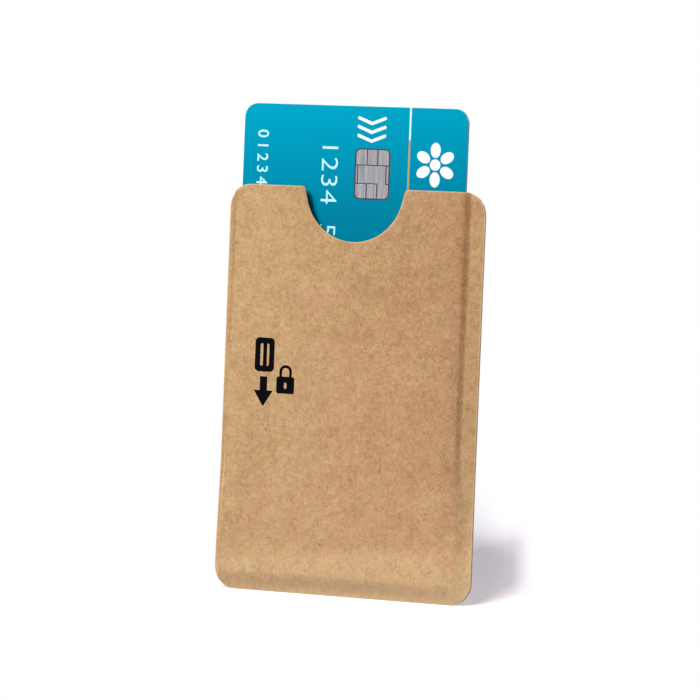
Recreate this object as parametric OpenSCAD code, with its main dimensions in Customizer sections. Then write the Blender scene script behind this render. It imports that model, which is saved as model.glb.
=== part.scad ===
// Paper sleeve for one chip card, lined with foil, with the card that it carries.
// It stands on its bottom edge: X runs to the right seen from the front, Y to the back, Z up.
// Y is zero in the middle of the glued seams, and the card lies in that plane.

/* [Card] */
// Width of the card, its short side
card_w = 53.98; // [40:0.01:70]
// Height of the card, its long side
card_h = 85.6; // [65:0.1:110]
// Thickness of the whole card
card_t = 0.76; // [0.68:0.01:1.2]
// Radius of the card's corners
card_r = 3.18; // [1:0.01:6]
// Thickness of the clear film on each face
film_t = 0.05; // [0.04:0.005:0.07]
// Thickness of the printed sheet under each film
sheet_t = 0.15; // [0.13:0.01:0.18]
// How far the card is drawn out of the pocket at rest
card_out = 18.85; // [0:0.05:50]

/* [Chip] */
// Middle of the contact plate, below the card's top edge
chip_drop = 14.98; // [13:0.01:25]
// Middle of the contact plate, in from the card's right edge
chip_inset = 22.47; // [18:0.01:30]
// Width of the contact plate
chip_w = 8.5; // [7:0.1:12]
// Height of the contact plate
chip_h = 11.3; // [10:0.1:14]
// Radius of the contact plate's corners
chip_r = 1.3; // [0.4:0.1:2]
// Thickness of the contact foil
contact_t = 0.04; // [0.02:0.005:0.05]
// Width of the lines etched between the contacts
contact_gap = 0.25; // [0.1:0.01:0.4]
// Rim of the tape that shows round the contacts
contact_rim = 0.3; // [0.05:0.01:0.4]
// Thickness of the tape that carries the contacts
carrier_t = 0.12; // [0.08:0.01:0.13]
// Rim of the plate left bare of resin at each side
side_rim = 1.5; // [1.3:0.05:2]
// Rim of the plate left bare of resin at the top and the bottom
end_rim = 2.05; // [1.5:0.05:3]
// Side of the square silicon die
die_w = 2.2; // [1:0.1:2.6]
// Thickness of the die
die_t = 0.14; // [0.08:0.01:0.16]

/* [Antenna] */
// Turns of the antenna
coil_turns = 4; // [2:1:5]
// Width of the antenna's track
track_w = 0.6; // [0.3:0.05:0.8]
// Thickness of the antenna's track
track_t = 0.1; // [0.04:0.01:0.11]
// Gap between neighbouring turns
track_gap = 0.5; // [0.3:0.05:0.7]
// From the card's edge to the middle of the outer turn
coil_margin = 3.2; // [2.5:0.1:4]

/* [Card back] */
// Width of the magnetic stripe
stripe_w = 12.7; // [8:0.1:14]
// From the card's long edge to the stripe
stripe_margin = 4.5; // [3.5:0.1:7]
// Width of the signature panel
panel_w = 10; // [6:0.1:12]
// From the card's top edge to the signature panel
panel_head = 18.6; // [6:0.1:30]
// From the card's bottom edge to the signature panel
panel_foot = 9; // [4:0.1:25]
// From the stripe to the signature panel
panel_gap = 2.6; // [1:0.1:8]
// Depth that the stripe and the panel are let into the film
inset_t = 0.025; // [0.01:0.005:0.03]

/* [Sleeve] */
// Thickness of the kraft paper
kraft_t = 0.25; // [0.12:0.01:0.6]
// Thickness of the foil lining
foil_t = 0.05; // [0.02:0.01:0.15]
// Thickness of the glue in the seams
glue_t = 0.05; // [0.02:0.01:0.15]
// Width of the left seam
left_seam = 1.2; // [1:0.05:8]
// Width of the right seam
right_seam = 4.25; // [1.5:0.05:8]
// Height of the bottom seam
bottom_seam = 2.45; // [1.5:0.05:10]
// Run of the step between a side seam and the pocket
step_run = 0.45; // [0.3:0.05:1.5]
// Run of the gentler slope between the bottom seam and the pocket
floor_run = 2; // [0.5:0.1:5]
// Radius of the sleeve's corners
corner_r = 4.7; // [1:0.1:8]
// Swell of the front panel at the mouth
mouth_crown = 0.9; // [0.3:0.05:3]
// Swell of the front panel at the pocket's floor
floor_crown = 0.1; // [0.05:0.01:0.25]

/* [Fit] */
// Gap between each face of the card and the lining
face_play = 0.15; // [0.08:0.01:0.5]
// Gap between each side of the card and the step's top
side_play = 0.185; // [0.1:0.005:1]
// Further gap on the left side of the card
left_room = 1; // [0:0.05:4]
// Gap under the card when it is pushed right in
floor_play = 0.25; // [0.1:0.05:2]
// How far the pushed-in card's top lies below the mouth
mouth_margin = 0.7; // [0.2:0.1:8]

/* [Thumb notch] */
// Radius of the notch
notch_r = 11.7; // [7:0.1:16]
// Depth of the notch's centre below the mouth
notch_drop = 0.3; // [0:0.1:4]
// Angle at which the notch's sides open towards the mouth
notch_flare = 14; // [2:1:30]
// Radius of the two lips where the notch meets the mouth
lip_r = 0.8; // [0.2:0.1:2]

/* [Hidden] */
$fn = 96;

// How far a cut runs past the solid that it cuts
overrun = 1;
// Flat strips that the swell is made of
crown_strips = 24;

// Sleeve, worked out from the card that it holds
pocket_half = card_t / 2 + face_play;
edge_room = side_play + step_run;
sleeve_w = left_seam + left_room + right_seam + card_w + 2 * edge_room;
pocket_left = left_seam - sleeve_w / 2;
pocket_right = sleeve_w / 2 - right_seam;
card_x = (pocket_left + left_room + pocket_right) / 2;
pocket_floor = bottom_seam + floor_run;
card_floor = pocket_floor + floor_play;
sleeve_h = card_floor + card_h + mouth_margin;
card_z = card_floor + card_out;

// Lining and paper, as depths from the sheet's inner face
lining = foil_t;
wall = foil_t + kraft_t;
seam_half = glue_t / 2;
step_rise = pocket_half - seam_half;
// Outward shift of the step's and the slope's corners for each unit of depth
step_shift = tan(atan2(step_rise, step_run) / 2);
floor_shift = tan(atan2(step_rise, floor_run) / 2);

// Notch
notch_z = sleeve_h - notch_drop;
flare_x = notch_r * cos(notch_flare);
flare_z = notch_z - notch_r * sin(notch_flare);
mouth_x = flare_x + (sleeve_h - flare_z) * tan(notch_flare);
lip_run = lip_r * tan(45 - notch_flare / 2);
lip_side = [mouth_x - lip_run * sin(notch_flare), sleeve_h - lip_run * cos(notch_flare)];

// Card, layer by layer from the front
inlay_t = card_t - 2 * (film_t + sheet_t);
card_front = -card_t / 2;
sheet_front = card_front + film_t;
inlay_front = sheet_front + sheet_t;
inlay_back = inlay_front + inlay_t;
sheet_back = inlay_back + sheet_t;
card_back = card_t / 2;

// Chip, on the card's own plane: zero at the middle of the card's bottom edge
chip_x = card_w / 2 - chip_inset;
chip_z = card_h - chip_drop;
chip_play = 0.04;
carrier_front = card_front + contact_t;
glue_front = carrier_front + carrier_t;
resin_w = chip_w - 2 * side_rim;
resin_h = chip_h - 2 * end_rim;
resin_r = 1;
resin_play = 0.15;
resin_floor = 0.05;
cavity_floor = 0.05;
cavity_back = inlay_back - cavity_floor;
resin_back = cavity_back - resin_floor;
// Etched lines, as shares of the plate: between its rows, in its end rows, and at its sides
row_shares = [0.31, 0.67];
column_shares = [0.345, 0.645];
side_shares = [0.09, 0.89];

// Antenna
pitch = track_w + track_gap;
pad_w = 1.1;
pad_h = 1.1;
pad_rim = 0.15;
pad_x = resin_w / 2 - pad_w / 2;
pad_z = chip_z + chip_h / 2 - pad_rim - pad_h / 2;
bridge_w = 0.9;

// Back of the card
panel_h = card_h - panel_head - panel_foot;
stripe_x = card_w / 2 - stripe_margin - stripe_w / 2;
panel_x = stripe_x - stripe_w / 2 - panel_gap - panel_w / 2;

// Colours
kraft_colour = "#C39A6E";
foil_colour = "#B9BCC0";
glue_colour = "#D8D3C4";
film_colour = "#2FA3BF";
print_colour = "#0F88A8";
plastic_colour = "#6194A6";
antenna_colour = "#B87333";
contact_colour = "#B4AEB6";
carrier_colour = "#4A4436";
resin_colour = "#1D1D20";
die_colour = "#6C7280";
stripe_colour = "#2A211E";
panel_colour = "#F4F3EE";

// Plane shapes, drawn in X and Z

module rounded_plate(w, h, r) {
  // Rectangle with round corners, its bottom edge's middle at zero
  translate([-w / 2 + r, 0]) square([w - 2 * r, h]);
  translate([-w / 2, r]) square([w, h - 2 * r]);
  for (x = [r - w / 2, w / 2 - r])
    for (z = [r, h - r])
      translate([x, z]) circle(r);
}

module centred_plate(w, h, r) {
  translate([0, -h / 2]) rounded_plate(w, h, r);
}

module notch_half() {
  // Right half of the flared side and of the lip that rounds it into the mouth
  polygon([
    [0, flare_z], [flare_x, flare_z], [mouth_x, sleeve_h],
    [mouth_x, sleeve_h + overrun], [0, sleeve_h + overrun]
  ]);
  difference() {
    polygon([
      lip_side, [mouth_x + lip_run, sleeve_h - lip_r], [mouth_x + lip_run, sleeve_h + overrun],
      [mouth_x, sleeve_h + overrun], [mouth_x, sleeve_h]
    ]);
    translate([mouth_x + lip_run, sleeve_h - lip_r]) circle(lip_r);
  }
}

module notch() {
  translate([0, notch_z]) circle(notch_r);
  notch_half();
  mirror([1, 0]) notch_half();
}

// Solids from plane shapes

module plate(front, back) {
  // Stands the plane shape up and gives it its thickness, from front to back along Y
  translate([0, back, 0]) rotate([90, 0, 0]) linear_extrude(back - front) children();
}

module cut_to_outline() {
  // Trims a panel to the sleeve's outline and cuts the thumb notch
  difference() {
    intersection() {
      children();
      plate(-sleeve_w, sleeve_w) rounded_plate(sleeve_w, sleeve_h, corner_r);
    }
    plate(-sleeve_w, sleeve_w) notch();
  }
}

module in_card() {
  translate([card_x, 0, card_z]) children();
}

module at_chip() {
  translate([chip_x, chip_z]) children();
}

// Front panel: the pocket swells towards the mouth

function crown_at(z) =
  floor_crown + (mouth_crown - floor_crown) * (z - pocket_floor) / (sleeve_h - pocket_floor);

function swell(left, right, y, crown, z) = [
  for (i = [0:crown_strips])
    let (share = i / crown_strips)
      [left + (right - left) * share, y - crown * 4 * share * (1 - share), z]
];

module pocket_loft(depth, reach) {
  // Spans the pocket's front half from its floor to past the mouth, for a face that lies depth
  // in front of the lining; reach is how much further it runs to the back and past the mouth
  out = depth * step_shift;
  left = pocket_left - out;
  right = pocket_right + out;
  foot = -seam_half - depth;
  y = -pocket_half - depth;
  back = overrun + reach;
  top_z = sleeve_h + overrun + reach;
  floor_z = pocket_floor - depth * floor_shift;
  foot_z = bottom_seam - depth * floor_shift;
  function ring(z) = concat(
    [[left, back, z], [left, foot, z]],
    swell(left + step_run, right - step_run, y, crown_at(z), z),
    [[right, foot, z], [right, back, z]]
  );
  feet = [[left, foot, foot_z], [right, foot, foot_z], [right, back, foot_z], [left, back, foot_z]];
  count = crown_strips + 5;
  last = count - 1;
  middle = floor(count / 2);
  foot_left = 2 * count;
  foot_right = foot_left + 1;
  back_right = foot_left + 2;
  back_left = foot_left + 3;
  sides = [
    for (i = [0:last])
      let (j = (i + 1) % count)
        each [[i, j, count + j], [i, count + j, count + i]]
  ];
  step_left = [for (i = [1:middle - 1]) [count + i, count + i + 1, foot_left]];
  step_right = [for (i = [middle:last - 2]) [count + i, count + i + 1, foot_right]];
  ends = [
    [for (i = [last:-1:0]) i],
    [count + middle, foot_right, foot_left],
    [count, count + 1, foot_left, back_left],
    [count + last - 1, count + last, back_right, foot_right],
    [count + last, count, back_left, back_right],
    [foot_left, foot_right, back_right, back_left]
  ];
  polyhedron(concat(ring(top_z), ring(floor_z), feet), concat(sides, step_left, step_right, ends));
}

module front_form(depth, reach) {
  // All that lies behind a face of the front panel
  foot = -seam_half - depth;
  side = sleeve_w + reach;
  end = overrun + reach;
  translate([-side, foot, -end]) cube([2 * side, 2 * end - foot, sleeve_h + 3 * end]);
  pocket_loft(depth, reach);
}

// Back panel: the pocket lies flat between its steps

module back_form(depth, reach) {
  // All that lies in front of a face of the back panel
  out = depth * step_shift;
  foot = seam_half + depth;
  y = pocket_half + depth;
  left = pocket_left - out;
  right = pocket_right + out;
  foot_z = bottom_seam - depth * floor_shift;
  side = sleeve_w + reach;
  end = overrun + reach;
  top_z = sleeve_h + end;
  translate([-side, -end, -end]) cube([2 * side, end + foot, top_z + end]);
  intersection() {
    linear_extrude(top_z)
      polygon([
        [left, -end], [left, foot], [left + step_run, y],
        [right - step_run, y], [right, foot], [right, -end]
      ]);
    translate([left - end, 0, 0]) rotate([90, 0, 90]) linear_extrude(right - left + 2 * end)
      polygon([
        [-2 * end, foot_z], [foot, foot_z], [y, foot_z + floor_run],
        [y, top_z + end], [-2 * end, top_z + end]
      ]);
  }
}

module front_kraft() {
  color(kraft_colour) cut_to_outline() difference() {
    front_form(wall, 0);
    front_form(lining, overrun);
  }
}

module front_foil() {
  color(foil_colour) cut_to_outline() difference() {
    front_form(lining, 0);
    front_form(0, overrun);
  }
}

module back_kraft() {
  color(kraft_colour) cut_to_outline() difference() {
    back_form(wall, 0);
    back_form(lining, overrun);
  }
}

module back_foil() {
  color(foil_colour) cut_to_outline() difference() {
    back_form(lining, 0);
    back_form(0, overrun);
  }
}

// Seams

module seam(left, right, low, high) {
  color(glue_colour) intersection() {
    plate(-seam_half, seam_half) rounded_plate(sleeve_w, sleeve_h, corner_r);
    translate([left, -overrun, low]) cube([right - left, 2 * overrun, high - low]);
  }
}

module left_seam_glue() {
  seam(-sleeve_w / 2, pocket_left, 0, sleeve_h);
}

module right_seam_glue() {
  seam(pocket_right, sleeve_w / 2, 0, sleeve_h);
}

module bottom_seam_glue() {
  seam(pocket_left, pocket_right, 0, bottom_seam);
}

// Card

module card_outline() {
  rounded_plate(card_w, card_h, card_r);
}

module chip_window() {
  at_chip() centred_plate(chip_w + 2 * chip_play, chip_h + 2 * chip_play, chip_r + chip_play);
}

module stripe_shape() {
  translate([stripe_x - stripe_w / 2, 0]) square([stripe_w, card_h]);
}

module panel_shape() {
  translate([panel_x - panel_w / 2, panel_foot]) square([panel_w, panel_h]);
}

module card_front_film() {
  color(film_colour) in_card() plate(card_front, sheet_front) difference() {
    card_outline();
    chip_window();
  }
}

module card_front_sheet() {
  color(print_colour) in_card() plate(sheet_front, inlay_front) difference() {
    card_outline();
    chip_window();
  }
}

module card_inlay() {
  // Core of the card, with the antenna's grooves and a hollow for the resin drop
  color(plastic_colour) in_card() difference() {
    plate(inlay_front, inlay_back) card_outline();
    plate(inlay_front - overrun, inlay_front + track_t) coil_shape();
    plate(inlay_front - overrun, cavity_back)
      at_chip() centred_plate(resin_w + 2 * resin_play, resin_h + 2 * resin_play, resin_r + resin_play);
    bridge_body(inlay_front - overrun, inlay_back + overrun);
  }
}

module card_back_sheet() {
  color(print_colour) in_card() plate(inlay_back, sheet_back) card_outline();
}

module card_back_film() {
  color(film_colour) in_card() difference() {
    plate(sheet_back, card_back) card_outline();
    plate(card_back - inset_t, card_back + overrun) {
      stripe_shape();
      panel_shape();
    }
  }
}

module magnetic_stripe() {
  color(stripe_colour) in_card() plate(card_back - inset_t, card_back) stripe_shape();
}

module signature_panel() {
  color(panel_colour) in_card() plate(card_back - inset_t, card_back) panel_shape();
}

// Antenna: a square-cornered spiral in the front of the inlay

// Half width and half height of a turn's middle line, and the height of its middle
function turn_x(turn) = card_w / 2 - coil_margin - turn * pitch;
function turn_z(turn) = card_h / 2 - coil_margin - turn * pitch;
coil_mid = card_h / 2;

// The spiral starts over the right pad and works inwards to the left pad
coil_path = concat(
  [[chip_x + pad_x, coil_mid + turn_z(0)]],
  [
    for (turn = [0:coil_turns - 1])
      each [
        [turn_x(turn), coil_mid + turn_z(turn)],
        [turn_x(turn), coil_mid - turn_z(turn)],
        [-turn_x(turn), coil_mid - turn_z(turn)],
        [-turn_x(turn), coil_mid + turn_z(turn + 1)]
      ]
  ],
  [[chip_x - pad_x, coil_mid + turn_z(coil_turns)], [chip_x - pad_x, pad_z]]
);

module track(from, to, w) {
  // Straight run of track along X or Z, square at its ends
  low = [min(from.x, to.x), min(from.y, to.y)];
  high = [max(from.x, to.x), max(from.y, to.y)];
  translate(low - [w / 2, w / 2]) square(high - low + [w, w]);
}

module coil_shape() {
  for (i = [0:len(coil_path) - 2])
    track(coil_path[i], coil_path[i + 1], track_w);
  translate([chip_x - pad_x, pad_z]) square([pad_w, pad_h], center = true);
}

module bridge_body(front, back) {
  // Strip behind the inlay with a post to each end: the coil's outer end and the right pad
  start = coil_path[0];
  pad = [chip_x + pad_x, pad_z];
  plate(inlay_back - track_t, back) track(pad, start, bridge_w);
  plate(inlay_front + track_t, inlay_back) translate(start) square(track_w, center = true);
  plate(front, inlay_back) translate(pad) square([pad_w, pad_h], center = true);
}

module antenna_coil() {
  color(antenna_colour) in_card() plate(inlay_front, inlay_front + track_t) coil_shape();
}

module antenna_bridge() {
  color(antenna_colour) in_card() bridge_body(inlay_front, inlay_back);
}

// Chip

module chip_plate() {
  at_chip() centred_plate(chip_w, chip_h, chip_r);
}

module contact_plate() {
  at_chip() centred_plate(chip_w - 2 * contact_rim, chip_h - 2 * contact_rim, chip_r - contact_rim);
}

module chip_contacts() {
  // Eight contacts: three at the top, two at the sides, the middle one with its corner, two below
  left = chip_x - chip_w / 2;
  foot = chip_z - chip_h / 2;
  rows = [for (share = row_shares) foot + share * chip_h];
  columns = [for (share = column_shares) left + share * chip_w];
  sides = [for (share = side_shares) left + share * chip_w];
  color(contact_colour) in_card() plate(card_front, carrier_front) difference() {
    contact_plate();
    for (x = columns) {
      track([x, foot - overrun], [x, rows[0]], contact_gap);
      track([x, rows[1]], [x, foot + chip_h + overrun], contact_gap);
    }
    for (x = sides)
      track([x, rows[0]], [x, rows[1]], contact_gap);
    track([left - overrun, rows[1]], [left + chip_w + overrun, rows[1]], contact_gap);
    track([left - overrun, rows[0]], [columns[1], rows[0]], contact_gap);
    track([sides[1], rows[0]], [left + chip_w + overrun, rows[0]], contact_gap);
  }
}

module chip_carrier() {
  color(carrier_colour) in_card() plate(carrier_front, glue_front) chip_plate();
}

module chip_glue() {
  color(glue_colour) in_card() plate(glue_front, inlay_front) difference() {
    chip_plate();
    at_chip() centred_plate(resin_w + 2 * resin_play, resin_h + 2 * resin_play, resin_r + resin_play);
  }
}

module chip_resin() {
  color(resin_colour) in_card() difference() {
    plate(glue_front, resin_back) at_chip() centred_plate(resin_w, resin_h, resin_r);
    plate(glue_front - overrun, glue_front + die_t) at_chip() square(die_w, center = true);
  }
}

module chip_die() {
  color(die_colour) in_card() plate(glue_front, glue_front + die_t) at_chip() square(die_w, center = true);
}

front_kraft();
front_foil();
back_kraft();
back_foil();
left_seam_glue();
right_seam_glue();
bottom_seam_glue();
card_front_film();
card_front_sheet();
card_inlay();
card_back_sheet();
card_back_film();
antenna_coil();
antenna_bridge();
chip_contacts();
chip_carrier();
chip_glue();
chip_resin();
chip_die();
magnetic_stripe();
signature_panel();
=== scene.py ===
"""Looks of a card holder: a kraft paper sleeve lined with foil, and the chip card that it carries.

The file is laid out as an add-on and run as a script. Properties hold the sizes and colours, one
operator makes each group of pieces, and a panel in the sidebar lists them in their order.
"""

import math
from contextlib import contextmanager

import bmesh
import bpy
from bpy.props import (
    FloatProperty, FloatVectorProperty, IntProperty, PointerProperty, StringProperty,
)
from mathutils import Matrix, Vector, noise


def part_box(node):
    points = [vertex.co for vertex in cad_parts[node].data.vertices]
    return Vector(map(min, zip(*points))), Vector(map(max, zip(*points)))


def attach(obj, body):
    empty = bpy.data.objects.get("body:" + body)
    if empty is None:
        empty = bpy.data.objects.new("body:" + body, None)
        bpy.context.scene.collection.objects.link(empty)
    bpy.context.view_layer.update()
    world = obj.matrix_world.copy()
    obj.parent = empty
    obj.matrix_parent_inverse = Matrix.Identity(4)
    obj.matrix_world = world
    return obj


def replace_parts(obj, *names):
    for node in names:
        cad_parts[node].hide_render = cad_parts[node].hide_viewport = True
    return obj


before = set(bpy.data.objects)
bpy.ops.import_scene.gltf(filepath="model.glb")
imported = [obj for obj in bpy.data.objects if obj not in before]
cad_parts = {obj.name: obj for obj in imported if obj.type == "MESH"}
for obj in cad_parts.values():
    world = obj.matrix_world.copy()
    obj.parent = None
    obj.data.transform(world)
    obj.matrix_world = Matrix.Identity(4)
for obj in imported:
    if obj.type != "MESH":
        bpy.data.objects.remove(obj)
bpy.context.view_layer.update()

bl_info = {
    "name": "Card holder",
    "version": (1, 0, 0),
    "blender": (4, 5, 0),
    "location": "3D View > Sidebar > Card Holder",
    "description": "Dresses the packed model of a lined paper sleeve and its chip card",
    "category": "Object",
}

PANEL_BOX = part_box("front_kraft")
CARD_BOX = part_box("card_front_film")
CARRIER_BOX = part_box("chip_carrier")
CONTACT_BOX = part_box("chip_contacts")

MM = 0.001
# Distance below which two places count as the same one
TOUCH = 1e-6
# Distance from a cut's plane at which a point counts as lying in it
CUT_REACH = 1e-7
# How far a cutter reaches past what it cuts
CUT_SPARE = 2 * MM
# Segments of a large round corner, of a notch's lip, of a print's corner and of an eased edge
SEGMENTS = 12
LIP_SEGMENTS = 6
PRINT_SEGMENTS = 5
EASE_SEGMENTS = 2
# Angle in degrees from which an edge is sharp enough to be eased, and to stay crisp to the eye
SHARP_LIMIT = 50
SMOOTH_LIMIT = 30
# Points of a printed disc and of the thumb notch, and steps of a digit's curves
DISC_POINTS = 48
NOTCH_POINTS = 192
DIGIT_STEPS = 6
# Height of the plain font's digits against its size
DIGIT_SHARE = 0.729
# Turns text that lies in its own plane so that it faces the front and reads downwards
READ_DOWN = Matrix(((0, 1, 0, 0), (0, 0, -1, 0), (-1, 0, 0, 0), (0, 0, 0, 1)))

# How far a sheet's pressed lines keep from its side edges, its steps and its ends
SIDE_GAP = 0.15 * MM
STEP_GAP = 0.05 * MM
END_GAP = 0.3 * MM
# Strips of a sheet between its pressed lines: from edge to edge, and from the bottom to the mouth
STRIPS_ACROSS = (9, 10, 38, 13, 12)
STRIPS_UP = (12, 56)
# Strips of the whole panel that a mark printed on it follows
MARK_ACROSS = 62
MARK_UP = 60
# Lengths of the paper's slow waves in millimetres, and the height of the shorter ones
LONG_WAVE = 17
SHORT_WAVE = 7
SHORT_SHARE = 0.5

# Left, right, low and high edge and corner radius of the printed signs' blocks, in millimetres
SIGN_BLOCKS = {
    "card": (-22.95, -18.15, 49.2, 56.8, 1.0), "card_hole": (-21.65, -19.45, 50.5, 55.5, 0.3),
    "card_stripe": (-20.95, -20.0, 50.0, 55.9, 0.0), "arrow_shaft": (-21.5, -19.7, 44.6, 48.1, 0.0),
    "arrow_head": (-22.95, -18.25, 41.6, 45.0, 0.0), "lock": (-17.4, -13.0, 44.5, 48.3, 0.5),
    "keyhole": (-15.55, -14.85, 45.6, 47.0, 0.33), "bow": (-16.75, -13.65, 47.2, 50.9, 1.5),
    "bow_hole": (-16.1, -14.3, 47.7, 50.25, 0.85),
}
# Width of the arrow's point against its head's
POINT_SHARE = 0.06
# How much bolder than the plain font the card's rows of digits are drawn, or finer below 0
NUMBER_WEIGHT = -0.05 * MM
CODE_WEIGHT = 0.03 * MM
# Chevrons: their number, ends, lowest foot, pitch, width, corner radius and dip
CHEVRONS = 3
CHEVRON_LEFT, CHEVRON_RIGHT = -0.4 * MM, 6.5 * MM
CHEVRON_FOOT, CHEVRON_PITCH = 102.3 * MM, 1.95 * MM
CHEVRON_WIDTH, CHEVRON_CORNER, CHEVRON_DIP = 0.75 * MM, 0.3 * MM, 1.2 * MM
# Rosette: its centre, its middle disc, and its petals' number, half width, reach and stretch
ROSETTE_X, ROSETTE_Z, BUD_RADIUS = 18.5 * MM, 96.7 * MM, 1.25 * MM
PETALS, PETAL_RADIUS, PETAL_REACH, PETAL_STRETCH = 6, 1.2 * MM, 3.25 * MM, 1.4
# Chip: segments of its corners, radius of its contacts' edges, the angle in degrees from which
# they stay crisp, and how far the grooves between them reach past the tape
CHIP_SEGMENTS = 8
CONTACT_EDGE = 0.012 * MM
CONTACT_LIMIT = 15
GROOVE_SPARE = 1 * MM
# Where the lines between the contacts run, as shares of the tape's height and width
CHIP_ROWS = (0.31, 0.67)
CHIP_COLUMNS = (0.345, 0.645)
CHIP_SIDES = (0.09, 0.89)

# Middle of a cloud's values
MIDDLE = 0.5
# Direction of each set of fibres in degrees, and how far its pattern is moved
FIBRES = ((64, 0), (86, 31), (110, 57), (158, 83))
# What the paper's clouds, its tufts and its grain add to its tone
CLOUDY_SHARE = 0.2
PULP_SHARE = 0.58
FINE_SHARE = 0.42
# How strongly dark fibres, pale fibres and flecks show
DARK_SHARE = 0.42
PALE_SHARE = 0.34
FLECK_SHARE = 0.6
# How far painted shade makes the paper darker on the left, and how much of that is missing at its
# waist
LEFT_DROP = 0.065
WAIST_LIFT = 0.045
# How far the sides' tints move the balance of warm and cool patches
HUE_DRIFT = 0.11
# Slopes of the lines along which the painted shade, the painted light at the foot, the tint and the
# shadow change
TONE_SLANT = 1.2
FOOT_SLANT = 0.1
TINT_SLANT = 0.35
SHADOW_SLANT = 0.39
# Each fade goes from its third to its fourth value, or from 0 to 1 where none are given, while
# what it follows goes from its first to its second. Places, heights and distances are in
# millimetres, and clouds go from 0 to 1
# Painted light and shade: the paper's slant, glow, waist, side, edge, crease, line and strip fades
# The shadow fades set the floor shadow's painted tone, and the floor fades paint the floor white
FADES = {
    "slant": (10.0, 110.0, 0.55, 0.43), "low_glow": (6.0, 36.0, 0.07, 0.0),
    "foot_start": (0.5, 2.5), "foot_glow": (8.0, 12.0, 0.2, 0.0), "waist_foot": (24.0, 32.0),
    "waist_head": (42.0, 52.0, 1.0, 0.0), "left_side": (-31.0, -13.0, 1.0, 0.0),
    "right_side": (6.0, 24.0), "right_glow": (4.0, 36.0, 0.05, 0.0), "tint": (-54.0, 6.0),
    "tint_flange": (26.0, 28.0, 1.0, 0.4), "tint_foot": (4.0, 14.0, 0.3, 1.0), "hue": (0.31, 0.59),
    "dark_fibre": (0.64, 0.78), "pale_fibre": (0.38, 0.24), "fleck": (0.72, 0.82),
    "sparse": (0.45, 0.62), "paper_rough": (0.2, 0.8, 0.82, 0.95),
    "edge_side": (-30.5, -29.5, 0.5, 0.0), "edge_low": (26.0, 34.0, 1.0, 0.0),
    "strip": (2.2, 5.2, 0.45, 0.0), "strip_side": (-28.0, 0.0, 0.2, 0.8),
    "outline": (0.05, 0.32, 1.0, 0.0), "mouth": (88.0, 90.0, 0.85, 0.45),
    "notch": (0.05, 0.32, 0.3, 0.0), "crease_slope": (-2.7, -1.2, 0.0, 0.8),
    "crease_run": (-4.6, -1.6, 0.0, 0.2), "crease_foot": (-0.3, 0.35, 1.0, 0.0),
    "crease_top": (10.0, 45.0, 0.1, 0.55), "line": (0.15, 0.7, 1.0, 0.0),
    "line_top": (13.0, 31.0, 0.2, 0.95), "scuff": (0.45, 0.75, 0.32, 0.44),
    "guard_line": (0.35, 0.9), "shadow_back": (120.0, 190.0, 0.0, 7.0),
    "shadow_front": (10.0, 90.0, 2.0, 0.0), "shadow_rim": (34.0, 48.0), "floor_far": (230.0, 400.0),
    "floor_right": (40.0, 46.5), "floor_left": (-34.0, -31.0, 1.0, 0.0),
}
# How far the thin line of painted shade lies from the left step's foot, in millimetres
LINE_OFFSET = 0.15

# Size of the floor in metres, and how much of its light it sends back to the object
FLOOR_SIZE = 24
FLOOR_SHARE = 0.4
# Each lamp's name, its power's property, its size and its distance from the aim in metres, its
# azimuth and elevation in degrees, and whether it lights only the floor or all the rest
LAMPS = (
    ("key", "key_power", 0.44, 1.2, -48, 44, "EXCLUDE"),
    ("fill", "fill_power", 0.5, 1.2, 150, 30, "EXCLUDE"),
    ("floor_light", "floor_power", 0.7, 2.6, 6, 24.2, "INCLUDE"),
)
# Width of the camera's sensor in millimetres, and the nearest and furthest that it sees in metres
SENSOR = 36.0
NEAREST = 0.05
FURTHEST = 50.0


def shade(red, green, blue):
    """Linear colour of a tone given in the steps of a paint chart, 0 to 255."""
    return tuple(
        part / 12.92 if part <= 0.04045 else ((part + 0.055) / 1.055) ** 2.4
        for part in (red / 255, green / 255, blue / 255)
    )


def setting(name, description, default, **limits):
    """A number that a user can change."""
    return FloatProperty(name=name, description=description, default=default, **limits)


def place(name, description, default, **limits):
    """A place along an axis that a user can change, given in millimetres."""
    return setting(
        name, description, default * MM, precision=5, step=0.01, unit="LENGTH",
        subtype="DISTANCE", **limits,
    )


def length(name, description, default):
    """A length that a user can change, given in millimetres."""
    return place(name, description, default, min=0.0)


def factor(name, description, default):
    """A share from 0 to 1 that a user can change."""
    return setting(name, description, default, min=0.0, max=1.0, subtype="FACTOR")


def watts(name, description, default):
    """Power of a light that a user can change."""
    return setting(name, description, default, min=0.0, unit="POWER")


def angle(name, description, degrees):
    """An angle that a user can change, given in degrees."""
    return setting(name, description, math.radians(degrees), unit="ROTATION", subtype="ANGLE")


def colour(name, description, *steps):
    """A colour that a user can change, given in steps from 0 to 255."""
    return FloatVectorProperty(
        name=name, description=description, default=shade(*steps),
        size=3, min=0.0, max=1.0, subtype="COLOR",
    )


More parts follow.
